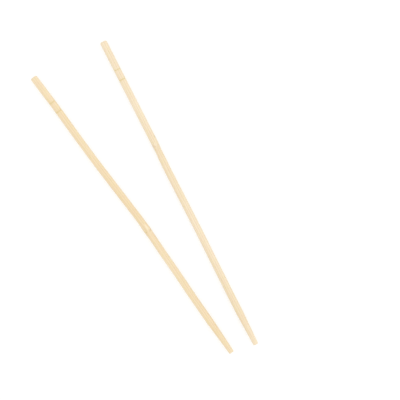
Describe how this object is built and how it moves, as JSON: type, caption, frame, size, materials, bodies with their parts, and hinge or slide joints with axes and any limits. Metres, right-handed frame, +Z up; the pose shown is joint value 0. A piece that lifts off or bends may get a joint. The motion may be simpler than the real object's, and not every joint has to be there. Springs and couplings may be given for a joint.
{
  "type": "bamboo chopsticks",
  "caption": "Slim round bamboo eating sticks laid in a narrow V, with square ends, turned rings by the handle and short tapered tips.",
  "frame": {"origin": "on the table under the middle of the pair's bounding box", "axes": "+Z up from the table; +Y down the middle of the V towards the handle ends, the tips at -Y; +X towards the right-hand stick"},
  "size_m": [0.0572, 0.232, 0.0051],
  "materials": {
    "bamboo_left": "bare turned bamboo, satin, slightly yellower cane",
    "bamboo_right": "bare turned bamboo, satin, slightly paler cane"
  },
  "bodies": {
    "root": {"left_chopstick": "bamboo_left", "right_chopstick": "bamboo_right"}
  },
  "joints": []
}
